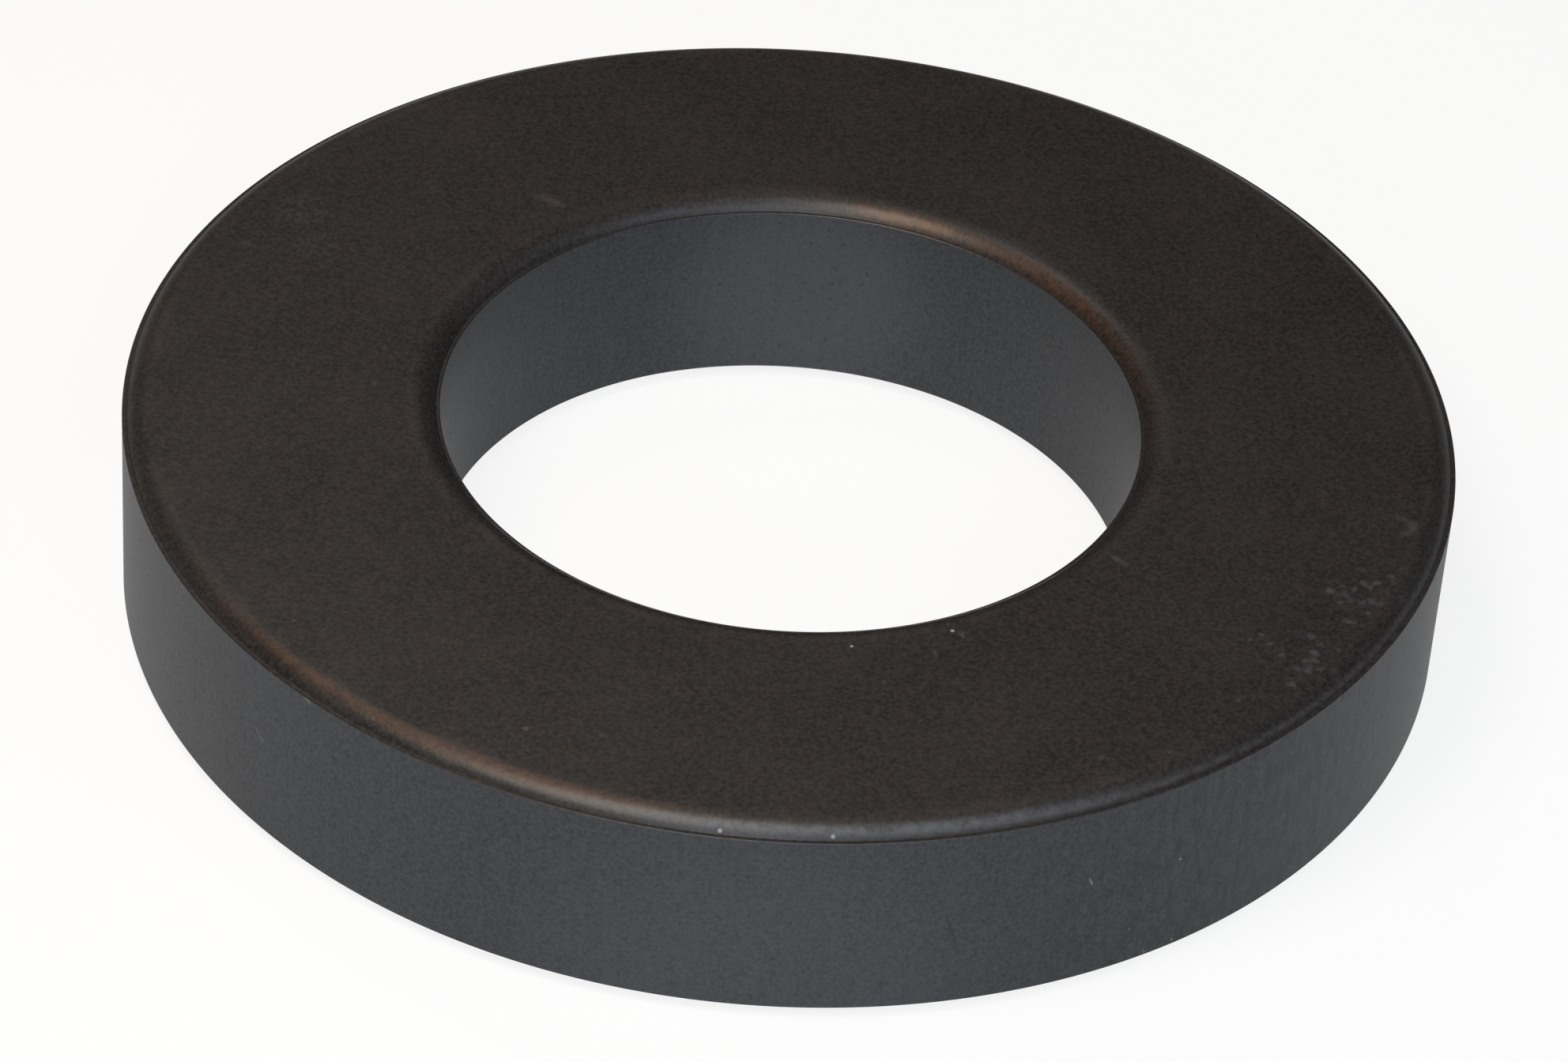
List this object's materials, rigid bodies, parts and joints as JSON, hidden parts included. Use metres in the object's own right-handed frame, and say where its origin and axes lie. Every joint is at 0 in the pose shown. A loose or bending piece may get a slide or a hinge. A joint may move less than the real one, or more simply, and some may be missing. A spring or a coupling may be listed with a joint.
{
  "type": "ferrite toroid core",
  "caption": "Flat ring core of dark sintered ferrite, rectangular in section, with rolled-over edges round both faces and a wide plain bore.",
  "frame": {"origin": "on the ring's axis, at the lower face that it lies on", "axes": "+Z along the ring's axis, up out of the upper face"},
  "size_m": [0.0736, 0.0736, 0.0125],
  "materials": {
    "ferrite": "matt, as sintered"
  },
  "bodies": {
    "root": {"toroid_core": "ferrite"}
  },
  "joints": []
}
